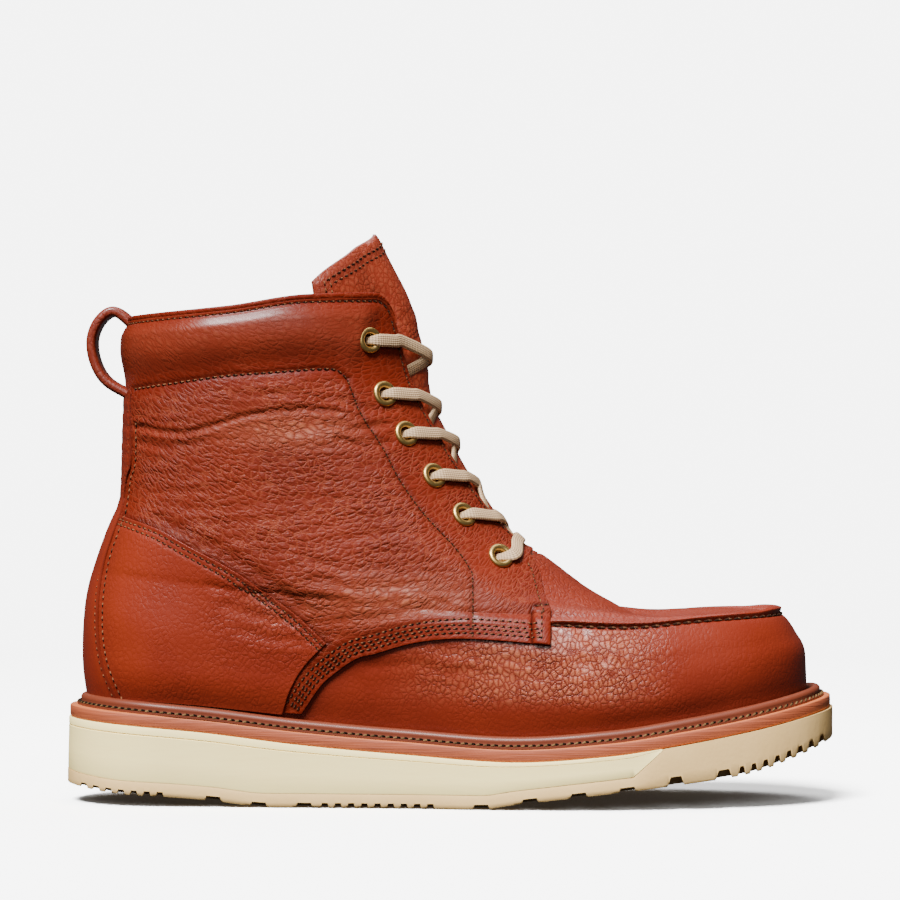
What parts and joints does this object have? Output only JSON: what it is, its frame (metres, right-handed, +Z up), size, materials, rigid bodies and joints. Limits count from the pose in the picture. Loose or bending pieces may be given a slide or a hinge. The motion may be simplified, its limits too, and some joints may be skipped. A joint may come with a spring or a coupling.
{
  "type": "work boot",
  "caption": "Right-foot lace-up leather work boot with a raised toe seam, padded collar, pull loop and a notched pale wedge sole.",
  "frame": {"origin": "on the floor, under the middle of the boot's box", "axes": "+X to the toe, +Y to the medial (inner) side, +Z up; the lateral (outer) side looks to -Y"},
  "size_m": [0.308, 0.1062, 0.2276],
  "materials": {
    "leather": "oiled and pebbled, red-brown",
    "welt_leather": "polished, dark red-brown",
    "runner_leather": "cut edge, pink-brown",
    "wedge_foam": "matte cream foam",
    "tread_rubber": "matte beige",
    "board": "plain tan board",
    "brass": "aged",
    "lace": "flat braid, taupe"
  },
  "bodies": {
    "root": {"outsole": "tread_rubber", "midsole": "wedge_foam", "runner": "runner_leather", "storm_welt": "welt_leather", "insole": "board", "upper": "leather", "quarter_lateral": "leather", "quarter_medial": "leather", "counter_lateral": "leather", "counter_medial": "leather", "back_strip": "leather", "tongue": "leather", "pull_loop": "leather", "eyelet_lateral_1": "brass", "eyelet_lateral_2": "brass", "eyelet_lateral_3": "brass", "eyelet_lateral_4": "brass", "eyelet_lateral_5": "brass", "eyelet_lateral_6": "brass", "eyelet_medial_1": "brass", "eyelet_medial_2": "brass", "eyelet_medial_3": "brass", "eyelet_medial_4": "brass", "eyelet_medial_5": "brass", "eyelet_medial_6": "brass", "lace_cross_1": "lace", "lace_cross_2": "lace", "lace_cross_3": "lace", "lace_cross_4": "lace", "lace_cross_5": "lace", "lace_bar": "lace"}
  },
  "joints": []
}
